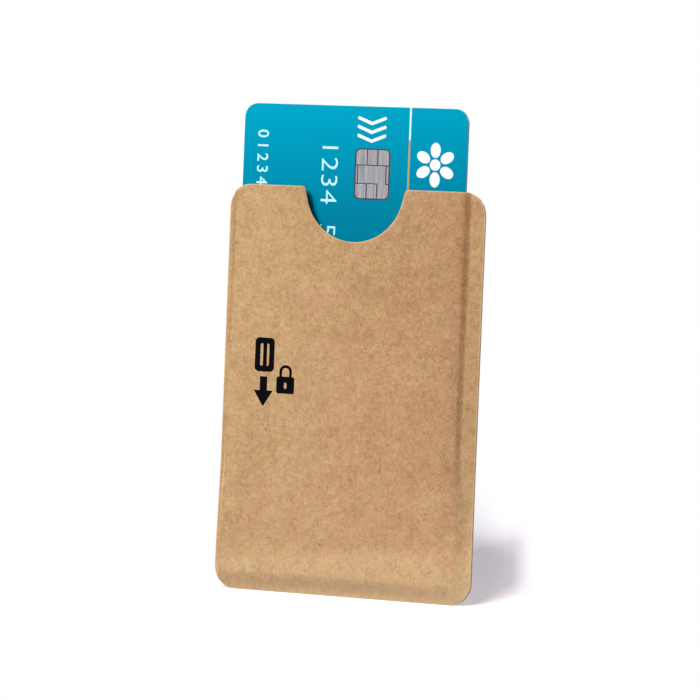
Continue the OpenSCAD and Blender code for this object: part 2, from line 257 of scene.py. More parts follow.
class SleeveLook(bpy.types.PropertyGroup):
    """Sizes and colours of the sleeve."""

    corner: length("Corner radius", "Radius of the sleeve's four corners", 5.1)
    notch_radius: length("Notch radius", "Radius of the thumb notch", 11.7)
    notch_drop: length("Notch drop", "Depth of the notch's centre below the mouth", 0.3)
    notch_flare: angle("Notch flare", "Angle at which the notch's sides open", 14)
    lip: length("Lip", "Run of the round lips where the notch meets the mouth", 0.625)
    paper: length("Paper", "Thickness of the kraft paper", 0.25)
    foil: length("Foil", "Thickness of the foil lining", 0.05)
    glue: length("Glue", "Thickness of the glue in the seams", 0.05)
    foil_inset: length("Foil inset", "How far the foil stops short of the paper's edge", 0.06)
    edge: length("Edge", "Radius of the paper's cut edges", 0.06)
    left_step: place("Left step", "Where the pocket starts on the left", -29.5)
    right_step: place("Right step", "Where the pocket starts on the right", 25.75)
    left_run: length("Left run", "Width of the step on the left", 0.2)
    right_run: length("Right run", "Width of the step on the right", 1.75)
    left_fade: length("Left fade", "Width of the step on the left below the card", 1.4)
    right_fade: length("Right fade", "Width of the step on the right below the card", 4.5)
    fade_low: place("Fade foot", "Height at which the steps are at their softest", 13.0)
    fade_high: place("Fade top", "Height from which the steps are crisp", 35.0)
    floor_low: place("Floor foot", "Height at which the pocket's floor starts to rise", 0.5)
    floor_high: place("Floor top", "Height at which the pocket's floor is fully raised", 4.6)
    step_rise: length("Step rise", "Rise of the panel at the steps", 0.41)
    easy_rise: length("Easy rise", "Further rise of the panel behind the steps", 0.17)
    easy_run: length("Easy run", "Distance over which the further rise builds up", 3.6)
    low_share: factor("Low share", "Share of the rise that is left below the card", 0.98)
    back_share: factor("Back share", "Share of the front panel's rise at the back panel", 0.9)
    left_flare: length("Left flare", "How far the left edge bows out at the bottom", 0.46)
    right_flare: length("Right flare", "How far the right edge bows out at the bottom", 0.1)
    flare_foot: place("Flare foot", "Height at which the edges bow out the most", 5.0)
    flare_top: place("Flare top", "Height from which the edges run straight", 31.0)
    mouth_crown: length("Mouth crown", "Swell of the front panel at the mouth", 0.83)
    floor_crown: length("Floor crown", "Swell of the front panel at the pocket's floor", 0.1)
    ripple: length("Ripple", "Height of the paper's slow waves", 0.03)
    ink: length("Ink", "How far the printed mark stands off the paper", 0.012)
    deep_colour: colour("Deep pulp", "Colour of the kraft paper's darkest pulp", 150, 108, 64)
    light_colour: colour("Light pulp", "Colour of the kraft paper's lightest pulp", 228, 189, 146)
    fibre_colour: colour("Dark fibres", "Colour of the darkest fibres", 128, 88, 52)
    pulp_colour: colour("Pale fibres", "Colour of the palest fibres", 226, 193, 152)
    warm_tint: colour("Warm tint", "Tint of the paper's redder patches", 255, 250, 251)
    cool_tint: colour("Cool tint", "Tint of the paper's greener patches", 252, 254, 247)
    # The cut edge's colour also paints light in a strip near the bottom
    rim_colour: colour("Cut edge", "Colour of the paper's cut edges", 224, 192, 152)
    # Painted shade in the wide crease on the right
    crease_shade_colour: colour("Crease", "Tone that the wide crease takes on", 236, 211, 195)
    # Painted shade: the thin line at the left step's foot, and the low left edge
    line_colour: colour("Pressed line", "Tone that the thin crease takes on", 229, 225, 221)
    left_tint: colour("Left tint", "Tint of the paper at its top left", 252, 255, 253)
    right_tint: colour("Right tint", "Tint of the paper on its right", 255, 251, 251)
    ink_colour: colour("Ink", "Colour of the printed mark", 9, 8, 11)
    foil_colour: colour("Foil", "Colour of the foil lining", 205, 208, 212)
    glue_colour: colour("Glue", "Colour of the glue in the seams", 214, 200, 170)


class CardLook(bpy.types.PropertyGroup):
    """Sizes and colours of the card."""

    ink: length("Ink", "How far the prints stand off the card", 0.008)
    number: StringProperty(
        name="Number", description="Plain digits in the card's number row",
        default="1234 5678 9012 3456",
    )
    number_height: length("Number height", "Height of the number's digits", 4.2)
    number_width: setting("Number width", "Width of its digits against the font's", 1.2, min=0.1)
    number_pitch: length("Number pitch", "Distance from digit to digit", 3.68)
    number_x: place("Number line", "Line on which the number's digits stand", -8.8)
    number_z: place("Number start", "Height of the number's first digit", 99.75)
    code: StringProperty(
        name="Code", description="Plain digits in the row at the card's left edge",
        default="0123456789",
    )
    code_height: length("Code height", "Height of the left row's digits", 2.75)
    code_pitch: length("Code pitch", "Distance from digit to digit in the left row", 2.64)
    code_x: place("Code line", "Line on which the left row's digits stand", -24.6)
    code_z: place("Code start", "Height of the left row's first digit", 102.4)
    line_x: place("Line", "Middle of the thin line along the card", 12.22)
    line_width: length("Line width", "Width of the thin line along the card", 0.43)
    line_change: place("Line change", "Height at which the thin line changes colour", 102.0)
    chip_corner: length("Chip corner", "Radius of the corners of the chip's tape", 1.3)
    rim: length("Chip rim", "Width of the dark rim round the contacts", 0.3)
    gap: length("Contact gap", "Width of the lines between the contacts", 0.27)
    # From top to low, partly the print's own gradient and partly painted shade towards the pocket
    top_colour: colour("Top", "Print at the card's top edge", 0, 158, 189)
    middle_colour: colour("Middle", "Print a finger's width below the top", 0, 147, 180)
    low_colour: colour("Low", "Print where the card enters the pocket", 0, 124, 154)
    white_colour: colour("White ink", "White of the rosette and the chevrons", 244, 246, 248)
    line_colour: colour("Line ink", "Colour of the thin line's upper part", 222, 244, 248)
    pale_colour: colour("Pale ink", "Pale blue of the digits", 196, 240, 250)
    gold_colour: colour("Gold ink", "Gold of the thin line's lower part", 172, 160, 112)
    core_colour: colour("Core", "Colour of the card's core at its edge", 96, 148, 166)
    metal_colour: colour("Contacts", "Colour of the chip's contacts", 152, 151, 156)
    tape_colour: colour("Tape", "Colour of the tape between the contacts", 44, 39, 44)


class StageLook(bpy.types.PropertyGroup):
    """Camera, floor and lights."""

    aim: FloatVectorProperty(
        name="Aim", description="Point that the camera looks at",
        default=(0, 0, 0.05), unit="LENGTH", subtype="TRANSLATION",
    )
    distance: length("Distance", "From the camera to its aim", 960)
    yaw: angle("Yaw", "Turn of the camera to the object's right", 23.51)
    pitch: angle("Pitch", "Height of the camera above the aim, as an angle", 2.27)
    roll: angle("Roll", "Turn of the camera about its own line of sight", 2.29)
    focal: setting("Focal length", "Focal length in pixels of the picture", 4320.0, min=100.0)
    shift_right: setting("Shift right", "Pixels that the picture moves right", 0.4)
    shift_down: setting("Shift down", "Pixels that the picture moves down", 22.6)
    frame_width: IntProperty(
        name="Frame", description="Width and height of the picture", default=700, min=16,
        subtype="PIXEL",
    )
    key_power: watts("Key light", "Power of the light at the left", 26.0)
    fill_power: watts("Fill light", "Power of the light behind the object, at the right", 11.0)
    floor_power: watts("Floor light", "Power of the light over the floor", 109.0)
    ambient: factor("Ambient", "Strength of the even light from all round", 0.1)
    floor_colour: colour("Floor", "Colour of the floor", 236, 236, 240)
    shadow_colour: colour("Shadow", "Tone of the shadow next to the object", 173, 168, 175)
    shadow_edge: colour("Shadow's edge", "Tone of the shadow at its far edges", 207, 201, 209)


class CardHolderLook(bpy.types.PropertyGroup):
    """Everything that a user can change."""

    sleeve: PointerProperty(type=SleeveLook, name="Sleeve", description="Look of the sleeve")
    card: PointerProperty(type=CardLook, name="Card", description="Look of the card")
    stage: PointerProperty(type=StageLook, name="Stage", description="Camera, floor and lights")


def joined_by(operation, swapped=False):
    """Method that joins a signal to another one, or to a number, with a Math node."""

    def method(self, other):
        pair = (other, self) if swapped else (self, other)
        return self.finish.maths(operation, *pair)

    return method


class Signal:
    """One output of a finish's nodes, so that its sums read as plain expressions."""

    def __init__(self, finish, socket):
        self.finish = finish
        self.socket = socket

    __add__ = __radd__ = joined_by("ADD")
    __mul__ = __rmul__ = joined_by("MULTIPLY")
    __sub__ = joined_by("SUBTRACT")
    __rsub__ = joined_by("SUBTRACT", swapped=True)
    __truediv__ = joined_by("DIVIDE")


class Finish:
    """The nodes of one material or of the world."""

    def __init__(self, owner):
        owner.use_nodes = True
        self.owner = owner
        self.tree = owner.node_tree
        self.tree.nodes.clear()

    def node(self, kind, settings=None, inputs=None, output=0):
        """Adds a node, sets it up, feeds its sockets, and gives the output asked for."""
        made = self.tree.nodes.new("ShaderNode" + kind)
        for key, value in (settings or {}).items():
            if key == "stops":
                self.fill_ramp(made.color_ramp, value)
            else:
                setattr(made, key, value)
        for key, value in (inputs or {}).items():
            if isinstance(value, Signal):
                self.tree.links.new(value.socket, made.inputs[key])
            else:
                made.inputs[key].default_value = value
        return Signal(self, made.outputs[output]) if made.outputs else made

    def fill_ramp(self, ramp, stops):
        """Gives a colour ramp its stops."""
        while len(ramp.elements) < len(stops):
            ramp.elements.new(0.5)
        for element, (position, tone) in zip(ramp.elements, stops):
            element.position = position
            element.color = (*tone, 1.0)

    def maths(self, operation, *values):
        """Adds a Math node."""
        return self.node("Math", {"operation": operation}, dict(enumerate(values)))

    def spot(self):
        """Place on the piece, in millimetres."""
        where = self.node("TexCoord", output="Object")
        return self.node(
            "VectorMath", {"operation": "SCALE"}, {0: where, "Scale": 1 / MM}
        )

    def parts(self, vector):
        """The three parts of a vector."""
        split = self.node("SeparateXYZ", inputs={0: vector})
        outputs = split.socket.node.outputs
        return [Signal(self, outputs[axis]) for axis in "XYZ"]

    def cloud(self, where, size, detail=2.0, roughness=0.5):
        """Soft noise from 0 to 1, whose largest forms are about as wide as size."""
        return self.node(
            "TexNoise", inputs={
                "Vector": where, "Scale": 1 / size, "Detail": detail, "Roughness": roughness,
            },
        )

    def streaks(self, where, turn, long, wide, detail=2.0, roughness=0.5):
        """Soft noise drawn out along one direction of a piece's face, given in degrees."""
        where = self.node(
            "Mapping", {"vector_type": "TEXTURE"},
            {"Vector": where, "Rotation": (0, math.radians(turn), 0), "Scale": (long, wide, wide)},
        )
        return self.cloud(where, 1.0, detail, roughness)

    def warped(self, where, size, amount):
        """Place on a piece, pushed about so that straight lines come out bent."""
        push = self.node(
            "TexNoise", inputs={"Vector": where, "Scale": 1 / size, "Detail": 1.0}, output="Color"
        )
        push = self.node("VectorMath", {"operation": "SUBTRACT"}, {0: push, 1: (MIDDLE,) * 3})
        push = self.node("VectorMath", {"operation": "SCALE"}, {0: push, "Scale": amount})
        return self.node("VectorMath", {"operation": "ADD"}, {0: where, 1: push})

    def largest(self, values):
        """The largest of some values."""
        top = values[0]
        for value in values[1:]:
            top = self.maths("MAXIMUM", top, value)
        return top

    def ray(self, *kinds):
        """1 for rays of the kinds named, and 0 for the others."""
        return self.largest([self.node("LightPath", output=kind) for kind in kinds])

    def glow(self, tone):
        """Even light of one colour."""
        return self.node("Emission", inputs={"Color": (*tone, 1.0), "Strength": 1.0})

    def mixed(self, share, first, second):
        """Mixes two shaders."""
        return self.node("MixShader", inputs={0: share, 1: first, 2: second})

    def between(self, value, low, high, start=0.0, end=1.0):
        """Goes smoothly from start to end while a value goes from low to high."""
        return self.node(
            "MapRange", {"interpolation_type": "SMOOTHSTEP"},
            {"Value": value, "From Min": low, "From Max": high, "To Min": start, "To Max": end},
        )

    def fade(self, value, name):
        """Goes smoothly between the values that a fade of the list gives."""
        return self.between(value, *FADES[name])

    def blend(self, share, first, second, how="MIX"):
        """Mixes two colours."""
        first, second = (
            tone if isinstance(tone, Signal) else (*tone, 1.0) for tone in (first, second)
        )
        return self.node(
            "Mix", {"data_type": "RGBA", "blend_type": how}, {0: share, 6: first, 7: second}, 2
        )

    def toned(self, tone, gain):
        """A colour made lighter or darker by a gain about 1."""
        tone = tone if isinstance(tone, Signal) else tuple(tone)
        return self.node("VectorMath", {"operation": "SCALE"}, {0: tone, "Scale": gain})

    def relief(self, height, depth):
        """Surface normal of a relief whose height goes from 0 to 1, depth in millimetres."""
        return self.node("Bump", inputs={"Height": height, "Distance": depth * MM, "Strength": 1.0})

    def surface(self, **inputs):
        """Ends the material in a Principled surface."""
        named = {key.replace("_", " "): value for key, value in inputs.items()}
        body = self.node("BsdfPrincipled", inputs=named)
        self.node("OutputMaterial", inputs={"Surface": body})
        return self.owner

    def patterned(self, tone, pattern, rough, depth=0.01, metallic=0.0, specular=0.5):
        """Ends the material in a surface whose roughness and relief follow one pattern."""
        return self.surface(
            Base_Color=tone, Metallic=metallic, Specular_IOR_Level=specular,
            Roughness=self.between(pattern, 0.3, 0.7, *rough), Normal=self.relief(pattern, depth),
        )


def new_finish(name):
    """A fresh material to build up."""
    return Finish(bpy.data.materials.new(name))


def sleeve_box():
    """Left, right, low and high edge of the sleeve."""
    low, high = PANEL_BOX
    return low.x, high.x, low.z, high.z


def edge_distances(finish, spot, look):
    """Distances on the paper from its outline and from the notch, in millimetres."""
    left, right, low, high = (side / MM for side in sleeve_box())
    x, _, z = finish.parts(spot)
    radius = look.corner / MM
    flared = finish.between(z, look.flare_foot / MM, look.flare_top / MM, look.left_flare / MM, 0.0)
    x = x + finish.maths("LESS_THAN", x, 0.0) * flared
    over_x = finish.maths("ABSOLUTE", x) - (right - left) / 2 + radius
    over_z = finish.maths("ABSOLUTE", z - (low + high) / 2) - (high - low) / 2 + radius
    out_x = finish.maths("MAXIMUM", over_x, 0.0)
    out_z = finish.maths("MAXIMUM", over_z, 0.0)
    corner = finish.maths("SQRT", out_x * out_x + out_z * out_z)
    inner = finish.maths("MINIMUM", finish.maths("MAXIMUM", over_x, over_z), 0.0)
    outline = radius - corner - inner
    rise = z - (high - look.notch_drop / MM)
    notch = finish.maths("SQRT", x * x + rise * rise) - look.notch_radius / MM
    return outline, notch


def painted_crease_shade(finish, paper, spot, look):
    """Paper with painted shade along its pressed creases: a wide band on the right, a thin line on
    the left.
    """
    x, _, z = finish.parts(spot)
    low, high = look.fade_low / MM, look.fade_high / MM
    across = x - (look.right_step + look.right_run) / MM
    slope = finish.fade(across, "crease_slope") + finish.fade(across, "crease_run")
    wide = slope * finish.fade(across, "crease_foot")
    wide = wide * finish.between(z, low, high) * finish.fade(z - high, "crease_top")
    # Painted shade in the wide crease
    paper = finish.blend(wide, paper, look.crease_shade_colour, "MULTIPLY")
    middle = (look.left_step - look.left_run) / MM + LINE_OFFSET
    off = finish.maths("ABSOLUTE", x - middle)
    thin = finish.fade(off, "line") * finish.fade(z - high, "line_top")
    # Painted shade in the thin line at the left step's foot
    return finish.blend(thin, paper, look.line_colour, "MULTIPLY")


def painted_shading(finish, x, z):
    """Painted light and shade as a share from deep to light pulp: darker top right and left,
    lighter low.
    """
    tone = finish.fade(z + x * TONE_SLANT, "slant") + finish.fade(z, "low_glow")
    tone = tone + finish.fade(z, "foot_start") * finish.fade(z - x * FOOT_SLANT, "foot_glow")
    waist = finish.fade(z, "waist_foot") * finish.fade(z, "waist_head")
    tone = tone - finish.fade(x, "left_side") * (LEFT_DROP - waist * WAIST_LIFT)
    return tone + finish.fade(x, "right_side") * finish.fade(z, "right_glow")


def fibres(finish, bent):
    """Where the paper's dark and its pale fibres lie."""
    strands = []
    for turn, seat in FIBRES:
        aside = finish.node("VectorMath", {"operation": "ADD"}, {0: bent, 1: (seat, 0, seat)})
        strands.append(finish.streaks(aside, turn, long=2.6, wide=0.22, detail=1.0))
    return [
        finish.largest([finish.fade(strand, name) for strand in strands])
        for name in ("dark_fibre", "pale_fibre")
    ]


def kraft_finish(look):
    """Kraft paper: cloudy pulp, short dark and pale fibres, flecks, paler cut edges, painted light
    and shade.
    """
    finish = new_finish("kraft_paper")
    cloud, fade, blend = finish.cloud, finish.fade, finish.blend
    spot = finish.spot()
    bent = finish.warped(spot, size=1.6, amount=1.3)
    cloudy = cloud(spot, size=9.0, detail=1.0)
    pulp = cloud(bent, size=2.6, detail=3.0, roughness=0.62)
    tuft = cloud(bent, size=1.0, detail=1.0)
    grain = cloud(spot, size=0.5, detail=2.0, roughness=0.7)
    x, _, z = finish.parts(spot)
    # Painted light and shade, under the pulp's own changes
    tone = painted_shading(finish, x, z)
    tone = tone + (cloudy - MIDDLE) * CLOUDY_SHARE + (pulp - MIDDLE) * PULP_SHARE
    tone = tone + (tuft - MIDDLE) * FINE_SHARE + (grain - MIDDLE) * FINE_SHARE
    paper = blend(tone, look.deep_colour, look.light_colour)
    dark, light = fibres(finish, bent)
    paper = blend(dark * DARK_SHARE, paper, look.fibre_colour)
    paper = blend(light * PALE_SHARE, paper, look.pulp_colour)
    side = fade(x - z * TINT_SLANT, "tint") * fade(x, "tint_flange") * fade(z, "tint_foot")
    hue = fade(cloud(bent, size=4.0, detail=2.0) - side * HUE_DRIFT, "hue")
    paper = blend(1.0, paper, blend(hue, look.warm_tint, look.cool_tint), "MULTIPLY")
    paper = blend(1.0, paper, blend(side, look.left_tint, look.right_tint), "MULTIPLY")
    fleck = fade(cloud(bent, size=0.42, detail=0.0), "fleck")
    sparse = fade(cloud(spot, size=3.4, detail=1.0), "sparse")
    paper = blend(fleck * sparse * FLECK_SHARE, paper, look.fibre_colour)
    paper = painted_crease_shade(finish, paper, spot, look)
    # Painted shade near the left edge low down, in the thin line's tone
    soft = fade(x, "edge_side") * fade(z, "edge_low")
    paper = blend(soft, paper, blend(1.0, paper, look.line_colour, "MULTIPLY"))
    # Painted light in a strip near the bottom, in the cut edge's colour
    paper = blend(fade(z, "strip") * fade(x, "strip_side"), paper, look.rim_colour)
    outline, notch = edge_distances(finish, spot, look)
    cut = finish.largest([fade(outline, "outline") * fade(z, "mouth"), fade(notch, "notch")])
    height = grain * 0.5 + pulp * 0.3 + light * 0.25 - dark * 0.2
    return finish.surface(
        Base_Color=blend(cut, paper, look.rim_colour), Roughness=fade(pulp, "paper_rough"),
        Specular_IOR_Level=0.14, Normal=finish.relief(height, depth=0.02),
    )


def foil_finish(look):
    """Foil lining: soft metal with fine creases."""
    finish = new_finish("foil_lining")
    spot = finish.spot()
    bent = finish.warped(spot, size=3.0, amount=2.0)
    crease = finish.cloud(bent, size=1.4, detail=4.0, roughness=0.6)
    streak = finish.streaks(spot, 90, long=9.0, wide=0.12)
    tone = finish.toned(look.foil_colour, 0.92 + streak * 0.14)
    return finish.patterned(tone, crease, rough=(0.3, 0.46), depth=0.03, metallic=1.0)


def ink_finish(name, tone, roughness, specular, grain_size, depth):
    """Printed ink: a thin even coat that shows a little of the ground under it."""
    finish = new_finish(name)
    spot = finish.spot()
    mottle = finish.cloud(spot, grain_size, detail=3.0, roughness=0.6)
    patch = finish.cloud(spot, grain_size * 8, detail=1.0)
    return finish.surface(
        Base_Color=finish.toned(tone, 0.93 + mottle * 0.09 + patch * 0.05),
        Roughness=finish.between(mottle, 0.25, 0.75, roughness, roughness + 0.12),
        Specular_IOR_Level=specular, Normal=finish.relief(mottle, depth),
    )


def print_finish(look):
    """Card print under its clear film: a blue that deepens towards the pocket, partly print and
    partly painted shade.
    """
    finish = new_finish("card_print")
    spot = finish.spot()
    x, _, z = finish.parts(spot)
    drift = finish.cloud(spot, size=16.0, detail=1.0)
    # Share of the way from the card's top to 30 mm below it, a little further on the right; the
    # deepening is partly print and partly painted shade
    down = (CARD_BOX[1].z / MM - z + x * 0.06 + (drift - MIDDLE) * 2.0) / 30.0
    stops = [(0.0, look.top_colour), (0.3, look.middle_colour), (0.85, look.low_colour)]
    tone = finish.node("ValToRGB", {"stops": stops}, {0: down})
    dots = finish.cloud(spot, size=0.14, detail=1.0)
    scuff = finish.streaks(spot, 84, long=14.0, wide=0.09)
    wave = finish.cloud(spot, size=11.0, detail=1.0)
    return finish.surface(
        Base_Color=finish.toned(tone, 0.97 + dots * 0.06), Roughness=finish.fade(scuff, "scuff"),
        Specular_IOR_Level=0.015, Normal=finish.relief(wave, depth=0.02),
    )


def contact_finish(look):
    """Contacts of the chip: bright metal brushed from top to bottom."""
    finish = new_finish("brushed_contacts")
    spot = finish.spot()
    fine = finish.streaks(spot, 90, long=7.0, wide=0.16, roughness=0.6)
    broad = finish.streaks(spot, 90, long=12.0, wide=0.5, detail=1.0)
    tone = finish.toned(look.metal_colour, 0.3 + fine * 0.6 + broad * 0.8)
    return finish.patterned(tone, fine, rough=(0.34, 0.5), depth=0.004, metallic=1.0)


def signature_finish():
    """Signature panel: chalky white with fine slanting guard lines."""
    finish = new_finish("signature_panel")
    spot = finish.spot()
    x, _, z = finish.parts(spot)
    line = finish.fade(finish.maths("SINE", (x + z * 0.6) * 5.2), "guard_line")
    chalk = finish.cloud(spot, size=0.3, detail=3.0, roughness=0.7)
    paper = finish.toned(shade(240, 239, 232), 0.94 + chalk * 0.1)
    tone = finish.blend(line * 0.35, paper, shade(164, 190, 200))
    return finish.patterned(tone, chalk, rough=(0.7, 0.85), depth=0.012, specular=0.25)


def plain_finish(name, tone, size=None, lines=None, gain=0.24, **form):
    """Finish with one pattern: a mottle of a size, or lines with a turn, a length and a width."""
    finish = new_finish(name)
    spot = finish.spot()
    if lines:
        pattern = finish.streaks(spot, *lines)
    else:
        pattern = finish.cloud(spot, size, detail=3.0, roughness=0.6)
    tone = finish.toned(tone, 1 - gain / 2 + pattern * gain)
    return finish.patterned(tone, pattern, **form)


def deselect():
    """Leaves edit mode and drops every selection."""
    if bpy.context.mode != "OBJECT":
        bpy.ops.object.mode_set(mode="OBJECT")
    bpy.ops.object.select_all(action="DESELECT")


def take(piece):
    """Makes a piece the only selected one."""
    deselect()
    piece.select_set(True)
    bpy.context.view_layer.objects.active = piece


@contextmanager
def editing(piece):
    """Opens a piece's mesh for the edits in its block, and closes it afterwards."""
    take(piece)
    bpy.ops.object.mode_set(mode="EDIT")
    yield
    bpy.ops.object.mode_set(mode="OBJECT")


def named(name):
    """Names the piece that was just added, and puts its place into its mesh."""
    piece = bpy.context.object
    piece.name = piece.data.name = name
    take(piece)
    bpy.ops.object.transform_apply(location=True, rotation=True, scale=True)
    return piece


def slab(name, low, high):
    """Flat block between two corners."""
    low, high = Vector(low), Vector(high)
    deselect()
    bpy.ops.mesh.primitive_cube_add(size=1, location=(low + high) / 2, scale=high - low)
    return named(name)


def disc(name, centre, radius, thickness, points):
    """Round blank that stands upright, with its axis along Y."""
    deselect()
    bpy.ops.mesh.primitive_cylinder_add(
        vertices=points, radius=radius, depth=thickness, location=centre,
        rotation=(math.pi / 2, 0, 0),
    )
    return named(name)


def pick(piece, kind, wanted):
    """Selects the vertices or edges of the open mesh that pass a test."""
    bpy.ops.mesh.select_mode(type=kind)
    bpy.ops.mesh.select_all(action="DESELECT")
    mesh = bmesh.from_edit_mesh(piece.data)
    parts = {"VERT": mesh.verts, "EDGE": mesh.edges}[kind]
    found = [part for part in parts if wanted(part)]
    if not found:
        raise RuntimeError(f"nothing on {piece.name} passes the test for its {kind.lower()}s")
    for part in found:
        part.select_set(True)
    mesh.select_flush_mode()
    bmesh.update_edit_mesh(piece.data)


def runs_through(edge):
    """Whether an edge runs through the sheet, from its front to its back."""
    first, second = (vertex.co for vertex in edge.verts)
    return math.hypot(first.x - second.x, first.z - second.z) < TOUCH


def round_edges(piece, wanted, radius, segments=SEGMENTS):
    """Bevels the edges that pass a test."""
    with editing(piece):
        pick(piece, "EDGE", wanted)
        bpy.ops.mesh.bevel(
            offset=radius, segments=segments, affect="EDGES", profile=0.5, clamp_overlap=False
        )
    return piece


def round_corners(piece, radius, segments=SEGMENTS):
    """Rounds the corners of a blank's outline."""
    return round_edges(piece, runs_through, radius, segments)


def ease(piece, radius):
    """Rounds every sharp edge a little."""
    sharp = math.radians(SHARP_LIMIT)
    return round_edges(
        piece, lambda edge: len(edge.link_faces) == 2 and edge.calc_face_angle() > sharp,
        radius, EASE_SEGMENTS,
    )


def combine(piece, other, operation="DIFFERENCE"):
    """Cuts a piece with another one, or joins both into one solid."""
    take(piece)
    step = piece.modifiers.new("combine", "BOOLEAN")
    step.object = other
    step.operation = operation
    step.solver = "EXACT"
    bpy.ops.object.modifier_apply(modifier=step.name)
    bpy.data.objects.remove(other)
    if not piece.data.polygons:
        raise RuntimeError(f"{piece.name} has nothing left")
    return piece


def score(piece, across, upright=()):
    """Cuts lines into a blank, at places across and at heights, so that it can be pressed."""
    with editing(piece):
        for axis, places in ((Vector((1, 0, 0)), across), (Vector((0, 0, 1)), upright)):
            for distance in places:
                bpy.ops.mesh.select_all(action="SELECT")
                bpy.ops.mesh.bisect(plane_co=axis * distance, plane_no=axis, threshold=CUT_REACH)
    return piece


def smooth(piece, limit=SMOOTH_LIMIT):
    """Shades a piece smooth, apart from its sharp edges."""
    take(piece)
    bpy.ops.object.shade_smooth_by_angle(angle=math.radians(limit))
    return piece


def dress(piece, finish):
    """Gives a piece one material."""
    piece.data.materials.clear()
    piece.data.materials.append(finish)
    return piece


def repaint(nodes, finish):
    """Gives CAD nodes a new material in their own slots."""
    for node in nodes:
        for place_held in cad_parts[node].material_slots:
            place_held.material = finish


def stand_in(piece, finish, node):
    """Puts a piece in the place of a CAD node."""
    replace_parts(dress(piece, finish), node)


def steps(start, stop, count):
    """Even places from start to stop."""
    return [start + (stop - start) * share / count for share in range(count + 1)]


def chain(places, counts):
    """Places that run evenly from each of the given ones to the next."""
    found = [places[0]]
    for start, stop, count in zip(places, places[1:], counts):
        found += steps(start, stop, count)[1:]
    return found


def eased(value, low, high):
    """Goes smoothly from 0 to 1 while a value goes from low to high."""
    share = min(max((value - low) / (high - low), 0.0), 1.0)
    return share * share * (3 - 2 * share)


def swell(look, x, z, crowned):
    """How far the panel stands off its seams at a place."""
    low, high = sleeve_box()[2:]
    crisp = eased(z, look.fade_low, look.fade_high)
    left_run = look.left_fade + (look.left_run - look.left_fade) * crisp
    right_run = look.right_fade + (look.right_run - look.right_fade) * crisp
    side = eased(x, look.left_step - left_run, look.left_step)
    side *= eased(x, look.right_step + right_run, look.right_step)
    pocket = side * eased(z, look.floor_low, look.floor_high)
    inside = min(x - look.left_step, look.right_step - x)
    short = 1 - min(max(inside / look.easy_run, 0.0), 1.0)
    rise = look.step_rise + look.easy_rise * (1 - short * short)
    rise *= look.low_share + (1 - look.low_share) * crisp
    if crowned:
        middle = (look.left_step + look.right_step) / 2
        reach = (look.right_step - look.left_step) / 2
        share = (z - low) / (high - low)
        crown = look.floor_crown + (look.mouth_crown - look.floor_crown) * share
        rise += crown * max(1 - ((x - middle) / reach) ** 2, 0.0)
        spot = Vector((x, 0, z)) / MM
        wave = noise.noise(spot / LONG_WAVE) + SHORT_SHARE * noise.noise(spot / SHORT_WAVE)
        rise += look.ripple * wave
    else:
        rise *= look.back_share
    return pocket * rise


def push(piece, axis, towards, amount):
    """Moves the points of a piece along an axis, each by what amount gives for its place."""
    moves = [amount(vertex.co.x, vertex.co.z) for vertex in piece.data.vertices]
    furthest = max(moves)
    group = piece.vertex_groups.new(name="push")
    for index, move in enumerate(moves):
        group.add([index], move / furthest, "REPLACE")
    take(piece)
    step = piece.modifiers.new("push", "DISPLACE")
    step.direction = axis
    step.mid_level = 0.0
    step.strength = furthest * towards
    step.vertex_group = group.name
    bpy.ops.object.modifier_apply(modifier=step.name)
    piece.vertex_groups.clear()
    return piece


def press(piece, look, towards, crowned):
    """Presses a flat blank into the panel's shape."""
    return push(piece, "Y", towards, lambda x, z: swell(look, x, z, crowned))


def flare(piece, look):
    """Bows the side edges out a little below the card."""
    left, right = sleeve_box()[:2]

    def bow(amount, side):
        return lambda x, z: (
            amount * eased(x / side, 0.0, 1.0) * (1 - eased(z, look.flare_foot, look.flare_top))
        )

    push(piece, "X", -1, bow(look.left_flare, left))
    return push(piece, "X", 1, bow(look.right_flare, right))


def notch_cutter(look, grow):
    """Solid that cuts the thumb notch: a disc, with sides that open towards the mouth."""
    high = sleeve_box()[3]
    radius = look.notch_radius + grow
    centre = high - look.notch_drop
    cutter = disc("notch", (0, 0, centre), radius, 2 * CUT_SPARE, NOTCH_POINTS)
    foot = centre - radius * math.sin(look.notch_flare)
    half = radius * math.cos(look.notch_flare)
    top = high + CUT_SPARE
    wide = half + (top - foot) * math.tan(look.notch_flare)
    sides = slab("sides", (-half, -CUT_SPARE, foot), (half, CUT_SPARE, top))
    with editing(sides):
        pick(sides, "VERT", lambda vertex: vertex.co.z > top - TOUCH)
        bpy.ops.transform.resize(value=(wide / half, 1, 1), center_override=(0, 0, top))
    return cutter, sides


def sheet_lines(look):
    """Places across a sheet and heights on it at which its blank is cut before it is pressed."""
    left, right, low, high = sleeve_box()
    across = (
        left + SIDE_GAP, look.left_step - look.left_run, look.left_step + STEP_GAP,
        look.right_step - STEP_GAP, look.right_step + look.right_run, right - SIDE_GAP,
    )
    upright = (low + END_GAP, look.floor_high, high - END_GAP)
    return chain(across, STRIPS_ACROSS), chain(upright, STRIPS_UP)


